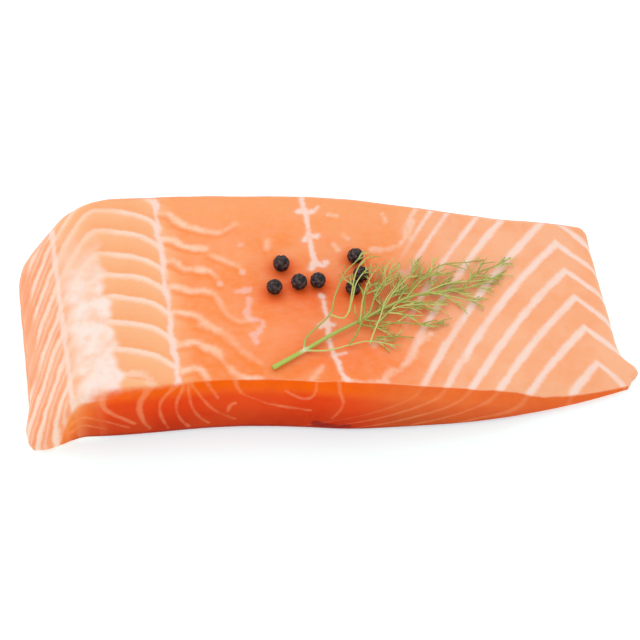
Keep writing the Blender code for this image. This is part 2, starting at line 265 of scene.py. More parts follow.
# How far below the top's edge the front cut's deep colour begins, from back to belly.
CUT_BEGINS = (
    (-80, 20), (-77, 12.5), (-75, 9.5), (-72.7, 5.6), (-70.4, 4.2), (-67, 3.4), (-63, 2.1), (-58, 1.3),
    (-44, 1.5), (-36, 1.3), (0, 1.4), (6, 0.8), (17, 0.4), (28, 0.4), (42, 0.2), (50, 1.2), (57, 3.6),
    (62, 5.95), (66, 7.3), (72, 7.9), (90, 8.4),
)
CUT_SOFTNESS = 0.5
CUT_SOFTNESS_AT_BACK = 2.5
CUT_SOFT_BACK = (30.0, 30.0)
REAR_CUT_BEGINS = 1.5
FLAT_FACING = 0.99
SEAM_HALF_WIDTH = 0.62
SEAM_KINK = 0.28
SEAM_KINK_LENGTH = 3.3
FINE_KINK_SHARE = 0.5
FINE_KINK_RATE = 2.7
SEAM_SWELL = 0.16
SEAM_SWELL_LENGTH = 1.9
SEAM_SWELL_TURN = 1.0
# Painted shade: a deeper orange just ahead of each streak, as if the streak cast it; its shift and half
# widths.
SHADE_SHIFT = (0.5, 1.7)
SHADE_HALF_WIDTH = (0.9, 0.5)
SAMPLE_STEP = 0.3
GAP_LIMIT = 6.0

# ---- where the colours lie
# Where each tone or end begins, and the length over which it becomes complete.
BELLY_TONE = (16.0, 30.0)
DORSAL_TONE = (-2.0, 10.0)
FLANK_TONE = (-4.0, 6.0)
FRONT_END = (14.0, 16.0)
REAR_END = (18.0, 20.0)
ACROSS_START = -100.0
ACROSS_LENGTH = 200.0
# The milky sheen, pale fat with a painted highlight over it: its right edge, its waves as height and length,
# and how it fades.
SHEEN_EDGE = -63.1
SHEEN_SLANT = 0.2
SHEEN_WAVES = ((0.9, 2.1), (0.5, 0.9))
SHEEN_RIGHT_FADE = (-1.3, 2.6)
SHEEN_LEFT_FADE = (-15.5, 7.0)
SHEEN_REAR_FADE = (-33.0, 36.0)
# Painted warm shade beneath the peppercorns and the dill: strength, place across and along, reach across and
# along.
WARM_SHADES = ((1, -3, 1, 15, 10), (0.68, 5, -20, 19, 10), (0.5, 25, 1, 15, 9))


def smoothstep(share):
    share = np.clip(share, 0.0, 1.0)
    return share * share * (3.0 - 2.0 * share)


def rising(value, start, length):
    """0 up to the start, and 1 from a length further on."""
    return smoothstep((value - start) / length)


def blend(start, end, share):
    return start + (end - start) * share


def back_edge(along):
    front_corner = FRONT_CORNER_BULGE * np.exp(-(((along - FRONT_CORNER_PLACE) / FRONT_CORNER_SHARE) ** 2))
    past_corner = np.logaddexp(0.0, (along - REAR_CORNER_START) / REAR_CORNER_BLEND)
    rear_corner = REAR_CORNER_SLOPE * REAR_CORNER_BLEND * past_corner
    return blend(BACK_EDGE_FRONT, BACK_EDGE_REAR, along) - front_corner + rear_corner


def belly_edge(along):
    tip = BELLY_TIP * np.exp(-(((along - BELLY_TIP_PLACE) / BELLY_TIP_SHARE) ** 2))
    return blend(BELLY_EDGE_FRONT, BELLY_EDGE_REAR, along) + tip


def front_edge(x):
    nose = NOSE_REACH * smoothstep((NOSE_START - x) / NOSE_LENGTH)
    apron = APRON_REACH * smoothstep((APRON_START - x) / APRON_LENGTH)
    swell = SWELL_REACH * np.exp(-(((x - SWELL_PLACE) / SWELL_LENGTH) ** 2))
    sweep = SWEEP_REACH * (np.maximum(x - SWEEP_START, 0.0) / SWEEP_LENGTH) ** 2
    return FRONT_CUT - nose - apron - swell + sweep


def thickness(x, along):
    fall = np.logaddexp(0.0, (x - BELLY_SLOPE_START) / BELLY_SLOPE_BLEND)
    crown = CROWN_THICKNESS - BELLY_SLOPE * BELLY_SLOPE_BLEND * fall
    crown = crown - SHOULDER_DROP * smoothstep((SHOULDER_START - x) / SHOULDER_LENGTH)
    crown = crown + WAVE_HEIGHT * np.sin(x / WAVE_ACROSS) * np.cos(along * WAVE_ALONG)
    at_rear = smoothstep((along - 1.0) / REAR_SHARE + 1.0)
    crown = crown + REAR_BELLY_RISE * at_rear * rising(x, REAR_BELLY_START, REAR_BELLY_LENGTH)
    at_nose = np.exp(-along / NOSE_SHARE)
    flank = blend(FLANK_LENGTH, FLANK_LENGTH_AT_NOSE, at_nose)
    flank = blend(flank, FLANK_LENGTH_AT_REAR, at_rear)
    share = np.clip((x - back_edge(along)) / flank, 0.0, 1.0)
    domed = (1.0 - (1.0 - share) ** FLANK_ROUNDNESS) ** FLANK_FULLNESS
    rise = blend(domed, smoothstep(share), at_nose)
    return blend(BACK_EDGE_THICKNESS, crown, rise)


def edge_pull(low, high, low_radius, high_radius):
    at_low = np.clip(1.0 - low / low_radius, 0.0, 1.0)
    at_high = np.clip(1.0 - high / high_radius, 0.0, 1.0)
    return at_high - at_low


def rounded_place(pull, length, low_radius, high_radius, flat_place):
    at_low = low_radius * (1.0 + pull)
    at_high = length - high_radius * (1.0 - pull)
    return np.where(pull < 0.0, at_low, np.where(pull > 0.0, at_high, flat_place))


def fillet_form(across, along, up):
    """Bends a unit box into the portion. Gives x, y, z, and which way each point faces."""
    left = back_edge(along)
    width = belly_edge(along) - left
    x = left + across * width
    depth = REAR_CUT - front_edge(x)
    height = thickness(x, along)
    lip = rising(x, LIP_START, LIP_LENGTH)
    front_radius = blend(TOP_ROUNDING, LIP_ROUNDING, lip)
    lip_drop = blend(TOP_ROUNDING, height * LIP_SHARE, lip * (1.0 - smoothstep(along / LIP_DEPTH)))
    top_radius = np.minimum(lip_drop, height * blend(THICKNESS_SHARE, LIP_SHARE, lip))
    under_radius = np.minimum(UNDER_ROUNDING, height * THICKNESS_SHARE)
    pull_x = edge_pull(across * width, (1.0 - across) * width, UNDER_ROUNDING, BELLY_ROUNDING)
    pull_y = edge_pull(along * depth, (1.0 - along) * depth, front_radius, TOP_ROUNDING)
    pull_z = edge_pull(up * height, (1.0 - up) * height, under_radius, top_radius)
    length = np.maximum(np.sqrt(pull_x**2 + pull_y**2 + pull_z**2), 1.0)
    facing = np.stack((pull_x, pull_y, pull_z), axis=1) / length[:, None]
    x = left + rounded_place(facing[:, 0], width, UNDER_ROUNDING, BELLY_ROUNDING, across * width)
    y = front_edge(x) + rounded_place(facing[:, 1], depth, front_radius, TOP_ROUNDING, along * depth)
    z = rounded_place(facing[:, 2], height, under_radius, top_radius, up * height)
    return np.stack((x, y, z), axis=1), facing


def top_height(x, y):
    """Height of the flesh above the board at a place."""
    start = front_edge(x)
    return thickness(x, (y - start) / (REAR_CUT - start))


# ---- the flesh's grid
def places_along(length):
    """Shares of a side, closer together at both ends."""
    edge = EDGE_ZONE / length
    close = np.linspace(0.0, edge, round(EDGE_ZONE / EDGE_STEP) + 1)
    middle = np.linspace(edge, 1.0 - edge, round((length - 2.0 * EDGE_ZONE) / STEP) + 1)
    return np.concatenate((close, middle[1:], 1.0 - close[::-1][1:]))


def strided(count):
    """Every UNDERSIDE_STRIDE-th index, and always the last."""
    return list(range(0, count - UNDERSIDE_STRIDE // 2, UNDERSIDE_STRIDE)) + [count - 1]


def sheet_faces(number):
    """Quads over a 2-D grid of point numbers."""
    corners = (number[:-1, :-1], number[1:, :-1], number[1:, 1:], number[:-1, 1:])
    return np.stack([corner.ravel() for corner in corners], axis=1).tolist()


def underside_faces(number, wide_i, wide_j):
    """Wide faces below; those at the rim also take in the fine points of the sides."""
    last_i, last_j = number.shape[0] - 1, number.shape[1] - 1
    faces = []
    for i0, i1 in zip(wide_i, wide_i[1:]):
        for j0, j1 in zip(wide_j, wide_j[1:]):
            ring = [(i0, j) for j in range(j0, j1, 1 if i0 == 0 else j1 - j0)]
            ring += [(i, j1) for i in range(i0, i1, 1 if j1 == last_j else i1 - i0)]
            ring += [(i1, j) for j in range(j1, j0, -1 if i1 == last_i else j0 - j1)]
            ring += [(i, j0) for i in range(i1, i0, -1 if j0 == 0 else i0 - i1)]
            faces.append([int(number[i, j]) for i, j in ring])
    return faces


def box_surface():
    """Points on the unit box's surface and the faces joining them."""
    across = places_along(BELLY_EDGE_FRONT - BACK_EDGE_FRONT)
    along = places_along(REAR_CUT - FRONT_CUT)
    up = np.linspace(0.0, 1.0, ROWS_UP + 1)
    shape = (len(across), len(along), len(up))
    i, j, k = np.indices(shape)
    wide_i, wide_j = strided(shape[0]), strided(shape[1])
    rim = (i == 0) | (i == shape[0] - 1) | (j == 0) | (j == shape[1] - 1)
    wide = np.isin(i, wide_i) & np.isin(j, wide_j)
    used = rim | (k == shape[2] - 1) | ((k == 0) & wide)
    number = np.full(shape, -1)
    number[used] = np.arange(used.sum())
    points = np.stack((across[i[used]], along[j[used]], up[k[used]]), axis=1)
    sides = (number[:, :, -1], number[:, 0, :], number[:, -1, ::-1], number[0, ::-1, :], number[-1, :, :])
    faces = [face for side in sides for face in sheet_faces(side)]
    return points, faces + underside_faces(number[:, :, 0], wide_i, wide_j)


# ---- where the fat runs
def smooth_route(knots, step):
    """Points about `step` apart on a Catmull-Rom curve through the knots."""
    knots = np.array(knots, float)
    padded = np.vstack((2.0 * knots[0] - knots[1], knots, 2.0 * knots[-1] - knots[-2]))
    route = []
    for before, start, end, after in zip(padded, padded[1:], padded[2:], padded[3:]):
        steps = max(1, round(float(np.linalg.norm(end - start)) / step))
        for t in np.arange(steps) / steps:
            bend = (2.0 * before - 5.0 * start + 4.0 * end - after) * t * t
            twist = (3.0 * start - before - 3.0 * end + after) * t * t * t
            route.append((2.0 * start + (end - before) * t + bend + twist) / 2.0)
    return np.array(route + [knots[-1]])


def gap_to_routes(flat, *groups):
    """Distance of each point from the nearest route's edge, negative inside."""
    gap = np.full(len(flat), GAP_LIMIT)
    for half_width, *routes in groups:
        for knots in routes:
            route = smooth_route(knots, SAMPLE_STEP)
            low, high = route.min(axis=0) - GAP_LIMIT, route.max(axis=0) + GAP_LIMIT
            near = np.flatnonzero(np.all((flat > low) & (flat < high), axis=1))
            for place, width in zip(route, np.linspace(*half_width, len(route))):
                reach = np.hypot(flat[near, 0] - place[0], flat[near, 1] - place[1]) - width
                gap[near] = np.minimum(gap[near], reach)
    return gap


def gap_to_blobs(flat, blobs):
    gap = np.full(len(flat), GAP_LIMIT)
    for x, y, radius in blobs:
        gap = np.minimum(gap, np.hypot(flat[:, 0] - x, flat[:, 1] - y) - radius)
    return gap


def dorsal_seam(y):
    return DORSAL_SEAM + DORSAL_SEAM_SLANT * y


def phase_among(lines, crossing):
    """Phase where lines are crossed, with one at every whole number, and millimetres per phase."""
    pitch = np.interp(crossing, (lines[1:] + lines[:-1]) / 2.0, np.diff(lines))
    return np.interp(crossing, lines, np.arange(len(lines))), pitch


def dorsal_lines(x, y):
    """Phase of the dorsal stripes, millimetres per phase, and their strength."""
    left = dorsal_seam(y) - x
    inward = np.maximum(left, 0.0)
    rise = DORSAL_RISE * (1.0 - np.exp(-inward / DORSAL_RISE_LENGTH)) + DORSAL_RISE_SLOPE * inward
    fall = DORSAL_FALL * np.maximum(-left, 0.0)
    down_flank = np.maximum(FLANK_SEAM + FLANK_SEAM_SLANT * y + FLANK_REACH - x, 0.0)
    bent = np.hypot(down_flank, FLANK_BEND)
    crossing = y - rise + fall + FLANK_PLUNGE * (bent - FLANK_BEND)
    phase, pitch = phase_among(-np.array(DORSAL_LINES), -crossing)
    steepest = DORSAL_RISE / DORSAL_RISE_LENGTH
    slope = FLANK_PLUNGE * down_flank / bent - steepest * np.exp(-inward / DORSAL_RISE_LENGTH)
    over_loop = rising(x, *LOOP_ACROSS) * rising(-y, *LOOP_AHEAD)
    weight = (1.0 - rising(-left, *DORSAL_FADE)) * (1.0 - over_loop)
    return phase, pitch / np.hypot(1.0, slope), weight


def belly_lines(x, y, depth, lip):
    """The same for the belly's chevrons, which lean towards the back with depth, except on the lip."""
    leaning = x + (BELLY_LEAN * depth + BELLY_LEAN_GROWTH * depth**2) * (1.0 - lip)
    left = BELLY_SEAM + BELLY_SEAM_SLANT * y - leaning
    inward = np.maximum(left, 0.0)
    crossing = y + inward + BELLY_BEND * inward**2 + BELLY_RIGHT_FALL * np.maximum(-left, 0.0)
    lines = np.array(BELLY_LINES[::-1])
    phase, pitch = phase_among(lines, crossing)
    slope = np.where(left > 0.0, 1.0 + 2.0 * BELLY_BEND * inward, BELLY_RIGHT_FALL)
    weight = rising(leaning, *BELLY_FADE)
    inside = (crossing > lines[0] - 1.0) & (crossing < lines[-1] + 1.0)
    return phase, pitch / np.hypot(1.0, slope), weight * inside


def cut_share(x, depth, facing, radius):
    """1 on the cut faces and 0 on top, turning at the edge between them."""
    towards_cut = np.abs(facing[:, 1])
    below = radius * towards_cut + np.where(towards_cut > FLAT_FACING, np.maximum(depth - radius, 0.0), 0.0)
    stations, starts = np.array(CUT_BEGINS).T
    begins = np.where(facing[:, 1] > 0.0, REAR_CUT_BEGINS, np.interp(x, stations, starts))
    softness = blend(CUT_SOFTNESS, CUT_SOFTNESS_AT_BACK, rising(-x, *CUT_SOFT_BACK))
    return smoothstep((below - begins) / (2.0 * softness) + 0.5)


def sheen_share(x, y):
    """1 in the milky sheen beside the dorsal stripes' turn: pale fat with a painted highlight."""
    past_edge = x - SHEEN_EDGE + SHEEN_SLANT * y
    for height, length in SHEEN_WAVES:
        past_edge = past_edge + height * np.sin(y / length)
    sheen = rising(-past_edge, *SHEEN_RIGHT_FADE) * rising(past_edge, *SHEEN_LEFT_FADE)
    return sheen * rising(-y, *SHEEN_REAR_FADE)


def warm_shade_share(x, y):
    """1 where the painted warm shade beneath the peppercorns and the dill is deepest."""
    warm_shade = 0.0
    for strength, place_x, place_y, reach_x, reach_y in WARM_SHADES:
        away = ((x - place_x) / reach_x) ** 2 + ((y - place_y) / reach_y) ** 2
        warm_shade = warm_shade + strength * np.exp(-away)
    return np.minimum(warm_shade, 1.0)


def flesh_fields(places, facing):
    """Everything the flesh's material reads, by name, up to three values to a point."""
    x, y, z = places.T
    start = front_edge(x)
    height = thickness(x, np.clip((y - start) / (REAR_CUT - start), 0.0, 1.0))
    depth = np.maximum(height - z, 0.0)
    lip = rising(x, LIP_START, LIP_LENGTH)
    radius = np.where(facing[:, 1] > 0.0, TOP_ROUNDING, blend(TOP_ROUNDING, LIP_ROUNDING, lip))
    cut = cut_share(x, depth, facing, radius)
    flat = np.stack((x, y), axis=1)
    bends = y / SEAM_KINK_LENGTH
    kinks = SEAM_KINK * np.sin(bends) + FINE_KINK_SHARE * SEAM_KINK * np.sin(bends * FINE_KINK_RATE)
    swells = SEAM_SWELL * np.sin(y / SEAM_SWELL_LENGTH + SEAM_SWELL_TURN)
    seam = np.abs(x - dorsal_seam(y) + kinks) - SEAM_HALF_WIDTH - swells
    fat = gap_to_routes(flat, CENTRAL_SEAM, TWIGS)
    fat = np.minimum(fat, np.minimum(gap_to_blobs(flat, BLOBS), seam))
    streak = gap_to_routes(flat, STREAKS, STREAK_ENDS)
    soft = gap_to_routes(flat, SOFT_VEINS, LOOP)
    painted_streak_shade = gap_to_routes(flat + np.array(SHADE_SHIFT), (SHADE_HALF_WIDTH, *STREAKS[1:]))
    pink = np.minimum(gap_to_routes(flat, PINK_VEIN), gap_to_blobs(flat, PINK_DOTS))
    # Where painted warm shade rings each peppercorn.
    pepper = gap_to_blobs(flat, [(*place, PEPPER_RADIUS) for place in PEPPER_PLACES])
    section = np.stack((x, depth), axis=1)
    arcs = gap_to_routes(section, CUT_ARCS, BROAD_ARCS)
    blood = gap_to_routes(section, BLOOD_MARK)
    belly_tone = rising(x + BELLY_LEAN * depth, *BELLY_TONE)
    dorsal_tone = 1.0 - rising(x - dorsal_seam(y), *DORSAL_TONE)
    past_flank_seam = FLANK_SEAM + FLANK_SEAM_SLANT * y - x
    across = (x - ACROSS_START) / ACROSS_LENGTH
    return {
        "dorsal": dorsal_lines(x, y),
        "belly": belly_lines(x, y, depth, lip),
        "marks": (fat, arcs, blood),
        "faint": (streak, pink, pepper),
        "gentle": (soft, painted_streak_shade),
        "tones": (belly_tone, dorsal_tone, rising(past_flank_seam, *FLANK_TONE)),
        "places": (cut, sheen_share(x, y), warm_shade_share(x, y)),
        "deep": (depth, depth / np.maximum(height, 1.0), np.abs(past_flank_seam)),
        "ends": (rising(-y, *FRONT_END), rising(y, *REAR_END), across),
    }


def line_profile(phase, scale, half_width):
    """1 on a line, falling to 0 beside it."""
    away = np.abs(phase - np.round(phase)) * scale
    return np.exp(-((away / half_width) ** 2))


RELIEF_GROOVE = 0.16
RELIEF_WIDTH = 0.9
VEIN_GROOVE_SHARE = 0.5
VEIN_WIDTH = 0.8
RELIEF_START_HEIGHT = 3.0
FACING_BOARD = -0.5
UNDULATION = 0.28
UNDULATION_SCALE = 1.0 / 13.0
GRAIN = 0.05
GRAIN_SCALE = 1.0 / 2.4


def flesh_relief(places, facing, fields):
    """How far each point stands out: grooves, a soft unevenness and a grain."""
    dorsal, belly, marks = fields["dorsal"], fields["belly"], fields["marks"]
    groove = dorsal[2] * line_profile(dorsal[0], dorsal[1], RELIEF_WIDTH)
    groove = np.maximum(groove, belly[2] * line_profile(belly[0], belly[1], RELIEF_WIDTH))
    on_top = 1.0 - fields["places"][0]
    vein = np.exp(-((np.maximum(marks[0], 0.0) / VEIN_WIDTH) ** 2)) * on_top
    uneven = np.array([noise.noise(Vector(place) * UNDULATION_SCALE) for place in places])
    grain = np.array([noise.noise(Vector(place) * GRAIN_SCALE) for place in places])
    relief = UNDULATION * uneven + GRAIN * grain
    relief = relief - RELIEF_GROOVE * groove * on_top - VEIN_GROOVE_SHARE * RELIEF_GROOVE * vein
    above_board = smoothstep(places[:, 2] / RELIEF_START_HEIGHT)
    return relief * above_board * (facing[:, 2] > FACING_BOARD)


def set_attribute(mesh, name, columns):
    """Up to three values to a point."""
    values = np.zeros((len(mesh.vertices), 3), np.float32)
    values[:, : len(columns)] = np.stack(columns, axis=1)
    mesh.attributes.new(name, "FLOAT_VECTOR", "POINT").data.foreach_set("vector", values.ravel())


def new_object(name, data):
    made = bpy.data.objects.new(name, data)
    bpy.context.scene.collection.objects.link(made)
    return made


def smooth_object(name, mesh, material):
    mesh.shade_smooth()
    mesh.materials.append(material)
    return new_object(name, mesh)


def design_offset():
    """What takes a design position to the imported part, from where the peppercorns are."""
    boxes = [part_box(f"peppercorn_{number}") for number in range(1, len(PEPPER_PLACES) + 1)]
    middles = np.array([(low + high) / 2.0 for low, high in boxes]) / MM
    across, along = (middles[:, :2] - np.array(PEPPER_PLACES)).mean(axis=0)
    return np.array((across, along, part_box("salmon_fillet")[0].z / MM))


def make_flesh(offset, material):
    points, faces = box_surface()
    places, facing = fillet_form(*points.T)
    fields = flesh_fields(places, facing)
    mesh = bpy.data.meshes.new("salmon_flesh")
    mesh.from_pydata(((places + offset) * MM).tolist(), [], faces)
    mesh.update()
    normals = np.zeros(len(places) * 3, np.float32)
    mesh.vertex_normals.foreach_get("vector", normals)
    relief = flesh_relief(places, facing, fields)
    shown = places + offset + normals.reshape(-1, 3) * relief[:, None]
    shown[:, 2] = np.maximum(shown[:, 2], offset[2])
    mesh.vertices.foreach_set("co", (shown * MM).astype(np.float32).ravel())
    for name, columns in fields.items():
        set_attribute(mesh, name, columns)
    return smooth_object("salmon_flesh", mesh, material)


# ---- materials
def srgb(red, green, blue):
    """An 8-bit screen colour as Blender's linear one."""
    channels = []
    for value in (red, green, blue):
        share = value / 255.0
        channels.append(share / 12.92 if share <= 0.04045 else ((share + 0.055) / 1.055) ** 2.4)
    return (*channels, 1.0)


class Shader:
    """Short names for the nodes that the materials are made of."""

    def __init__(self, name):
        self.material = bpy.data.materials.new(name)
        self.material.use_nodes = True
        self.tree = self.material.node_tree
        self.surface = self.tree.nodes["Principled BSDF"]
        self.object_place = self.tree.nodes.new("ShaderNodeTexCoord").outputs["Object"]

    def plug(self, socket, value):
        if isinstance(value, bpy.types.NodeSocket):
            self.tree.links.new(value, socket)
        else:
            socket.default_value = value

    def node(self, kind, values, output=0, **settings):
        """One output of a new node, whose inputs are given by number or name."""
        node = self.tree.nodes.new("ShaderNode" + kind)
        for name, value in settings.items():
            setattr(node, name, value)
        for key, value in values.items():
            self.plug(node.inputs[key], value)
        return node.outputs[output]

    def math(self, operation, *values):
        return self.node("Math", dict(enumerate(values)), operation=operation)

    def add(self, first, second):
        return self.math("ADD", first, second)

    def times(self, first, second):
        return self.math("MULTIPLY", first, second)

    def ramp(self, value, start, end, low=0.0, high=1.0):
        """Goes smoothly from low at start to high at end."""
        values = dict(enumerate((value, start, end, low, high)))
        return self.node("MapRange", values, interpolation_type="SMOOTHSTEP")

    def mix(self, share, first, second):
        return self.node("Mix", {0: share, 6: first, 7: second}, 2, data_type="RGBA")

    def paint(self, colour, *layers):
        """Lays layers over the colour in order; each is where, how strongly and an 8-bit screen colour."""
        for share, strength, tint in layers:
            colour = self.mix(self.times(share, strength), colour, srgb(*tint))
        return colour

    def field(self, name):
        """The three values of a mesh attribute."""
        vector = self.node("Attribute", {}, "Vector", attribute_name=name)
        return [self.node("SeparateXYZ", {0: vector}, axis) for axis in range(3)]

    def noise(self, size, detail=2.0, stretch=(1.0, 1.0, 1.0), shift=0.0):
        """Noise whose features are about `size` millimetres."""
        values = {"Vector": self.object_place, "Location": (shift, shift, shift), "Scale": stretch}
        placed = self.node("Mapping", values)
        return self.node("TexNoise", {"Vector": placed, "Scale": 1.0 / (size * MM), "Detail": detail})

    def bump(self, height, distance, strength):
        values = {"Height": height, "Distance": distance * MM, "Strength": strength}
        self.plug(self.surface.inputs["Normal"], self.node("Bump", values))

    def finish(self, colour, roughness, **settings):
        self.plug(self.surface.inputs["Base Color"], colour)
        self.plug(self.surface.inputs["Roughness"], roughness)
        for name, value in settings.items():
            self.surface.inputs[name.replace("_", " ")].default_value = value
        return self.material


class FleshShader(Shader):
    """The flesh's material: lines and colours made from the distances and shares in the mesh."""

    def __init__(self):
        super().__init__("salmon_flesh")
        self.dorsal_phase, self.dorsal_scale, self.dorsal_weight = self.field("dorsal")
        self.belly_phase, self.belly_scale, self.belly_weight = self.field("belly")
        self.fat_gap, self.arc_gap, self.blood_gap = self.field("marks")
        self.streak_gap, self.pink_gap, self.pepper_warm_shade_gap = self.field("faint")
        self.soft_gap, self.shade_gap = self.field("gentle")[:2]
        self.belly_tone, self.dorsal_tone, self.flank_tone = self.field("tones")
        self.cut, self.sheen, self.warm_shade = self.field("places")
        self.depth, self.depth_share, self.flank_seam_gap = self.field("deep")
        self.front, self.rear, self.across = self.field("ends")
        wander = self.add(self.noise(6.0, 2.0), -0.5)
        self.ragged = self.add(self.noise(1.4, 3.0), -0.5)
        self.edge_noise = self.add(self.times(wander, 2.2), self.times(self.ragged, 1.3))
        self.patchy = self.noise(9.0, 2.0, shift=0.3)
        self.cloudy = self.ramp(self.noise(14.0, 3.0, shift=0.7), 0.36, 0.64)
        self.mottled = self.ramp(self.noise(4.0, 3.0, shift=4.1), 0.3, 0.7)
        self.fibre = self.noise(1.3, 3.0, stretch=(0.55, 1.0, 1.0), shift=1.3)

    def inside(self, gap, raggedness, outer, inner):
        """0 where the gap is `outer` millimetres, 1 where it is `inner`, with a ragged edge."""
        return self.ramp(self.add(gap, self.times(self.edge_noise, raggedness)), outer, inner)

    def fade(self, line, share, start, end, low=0.0, high=1.0):
        return self.times(line, self.ramp(share, start, end, low, high))

    def dim(self, line, share, least, full=1.0):
        """The line, with only `least` of it left where the share is full."""
        return self.fade(line, share, 0.0, full, 1.0, least)

    def by_depth(self, first, *deeper):
        """A tint that gives way to others below; each has the depths where it starts and is complete."""
        colour = srgb(*first)
        for start, end, tint in deeper:
            colour = self.mix(self.ramp(self.depth, start, end), colour, srgb(*tint))
        return colour

    def belly_chevrons(self):
        """Broad, soft on both sides, and thin where they cross the cut."""
        away = self.times(self.math("PINGPONG", self.belly_phase, 0.5), self.belly_scale)
        away = self.add(away, self.times(self.edge_noise, 0.5))
        width = self.ramp(self.belly_phase, 5.5, 9.0, 0.85, 0.45)
        width = self.add(width, self.times(self.cut, -0.5))
        line = self.ramp(away, self.add(width, 0.75), self.add(width, -0.5))
        return self.fade(self.times(line, self.belly_weight), self.patchy, 0.25, 0.55, 0.8, 1.0)

    def dorsal_stripes(self):
        """Crisp behind and soft towards the front cut. Also how far each point is through its band."""
        shaken = self.math("DIVIDE", self.times(self.edge_noise, 0.6), self.dorsal_scale)
        along = self.add(self.dorsal_phase, shaken)
        band_share = self.math("FRACT", along)
        ahead = self.times(self.add(self.math("FRACT", self.add(along, 0.5)), -0.5), self.dorsal_scale)
        crisp = self.ramp(ahead, -0.95, -0.2)
        soft = self.ramp(ahead, self.ramp(self.flank_tone, 0.0, 1.0, 2.6, 1.6), 0.2)
        line = self.fade(self.times(self.times(crisp, soft), self.dorsal_weight), self.patchy, 0.2, 0.5, 0.75)
        turn = self.times(self.ramp(self.across, 0.205, 0.165), self.ramp(self.flank_tone, 1.0, 0.2))
        line = self.dim(line, turn, 0.6)
        line = self.dim(line, self.times(self.flank_tone, self.rear), 0.2, full=0.8)
        between = self.times(self.math("ABSOLUTE", self.add(band_share, -0.5)), self.dorsal_scale)
        minor = self.times(self.ramp(between, 0.75, 0.1), self.flank_tone)
        line = self.math("MAXIMUM", line, self.times(minor, 0.45))
        plain_rim = self.times(self.ramp(self.flank_seam_gap, 6.8, 10.5), self.flank_tone)
        plain_rim = self.dim(plain_rim, self.front, 0.0)
        return self.dim(line, plain_rim, 0.12), band_share

    def bands(self, band_share):
        """The flesh between the lines, from the middle to the belly, the back and the flank."""
        middle = self.paint(
            self.mix(self.cloudy, srgb(255, 146, 78), srgb(255, 160, 104)),
            (self.rear, 0.8, (253, 166, 106)),
            (self.front, 0.85, (253, 134, 58)),
            (self.mottled, 0.4, (254, 166, 122)),
        )
        belly = self.mix(self.cloudy, srgb(253, 172, 124), srgb(254, 184, 142))
        belly = self.paint(belly, (self.mottled, 0.25, (254, 190, 152)))
        dorsal = self.mix(band_share, srgb(253, 190, 142), srgb(252, 172, 118))
        flank = self.mix(self.cloudy, srgb(251, 158, 110), srgb(252, 174, 132))
        colour = self.mix(self.belly_tone, middle, belly)
        colour = self.mix(self.dorsal_tone, colour, dorsal)
        return self.mix(self.flank_tone, colour, flank)

    def top_colour(self, bands, dorsal_line, belly_line):
        """Painted warm shade, veins, painted sheen over pale fat and lines laid over the bands, the strongest
        lines last.
        """
        streak = self.fade(self.inside(self.streak_gap, 1.1, 1.6, -0.9), self.patchy, 0.34, 0.58, 0.5)
        streak = self.fade(streak, self.across, 0.29, 0.38, 1.0, 0.6)
        soft_vein = self.fade(self.inside(self.soft_gap, 1.4, 1.2, -0.6), self.mottled, 0.0, 1.0, 0.6)
        milky = self.ramp(self.noise(5.0, 3.0, shift=2.1), 0.28, 0.62, 0.45, 1.0)
        return self.paint(
            bands,
            # Painted warm shade beneath the peppercorns and the dill.
            (self.warm_shade, 0.75, (255, 108, 48)),
            (self.ramp(self.fibre, 0.35, 0.75), 0.09, (254, 200, 166)),
            # Painted shade ahead of each streak.
            (self.inside(self.shade_gap, 0.8, 1.2, -0.6), 0.5, (252, 136, 60)),
            (self.inside(self.fat_gap, 0.75, 2.0, 0.0), 0.2, (253, 176, 138)),
            (streak, 1.0, (255, 212, 182)),
            (soft_vein, 0.72, (254, 214, 190)),
            (self.inside(self.pink_gap, 1.3, 1.1, -0.6), 0.62, (252, 200, 188)),
            # Painted warm shade in a ring round each peppercorn.
            (self.inside(self.pepper_warm_shade_gap, 1.3, 4.4, -0.6), 0.75, (255, 94, 28)),
            # Painted highlight over pale fat: the milky sheen.
            (self.times(self.sheen, milky), 0.95, (253, 234, 224)),
            (self.inside(self.flank_seam_gap, 0.7, 1.3, 0.2), 0.7, (253, 226, 212)),
            (self.fade(dorsal_line, self.sheen, 0.0, 1.0, 0.88, 0.4), 1.0, (254, 221, 200)),
            (belly_line, 0.94, (254, 222, 208)),
            (self.inside(self.fat_gap, 0.75, 0.7, -0.5), 0.92, (254, 218, 204)),
        )

    def cut_colour(self, dorsal_line, belly_line):
        """Deeper than the top, most of all low down, with painted shade along the foot, and paler towards the
        back and the belly.
        """
        middle = self.by_depth((250, 100, 0), (1.0, 7.0, (230, 62, 0)), (6.0, 20.0, (186, 43, 0)))
        belly = self.by_depth((238, 116, 54), (1.0, 9.0, (216, 96, 40)), (6.0, 16.0, (186, 78, 28)))
        back = self.by_depth((254, 172, 104), (2.0, 9.0, (253, 138, 60)), (8.0, 18.0, (226, 98, 46)))
        to_back = self.ramp(self.across, 0.21, 0.13)
        deep = self.mix(self.ramp(self.across, 0.53, 0.64, 0.0, 0.92), middle, belly)
        deep = self.mix(to_back, deep, back)
        lines = self.math("MAXIMUM", self.inside(self.arc_gap, 0.45, 0.7, -0.35), self.times(belly_line, 0.7))
        lines = self.math("MAXIMUM", lines, self.times(dorsal_line, to_back))
        return self.paint(
            deep,
            (self.cloudy, 0.16, (246, 110, 44)),
            (self.mottled, 0.14, (206, 52, 8)),
            (lines, 0.37, (253, 170, 120)),
            # Painted shade: a dark red-brown band along the foot of the cut faces, against the board.
            (self.ramp(self.depth_share, 0.87, 0.98), 0.75, (118, 26, 4)),
            (self.inside(self.blood_gap, 0.8, 0.8, -0.4), 0.75, (130, 16, 14)),
        )


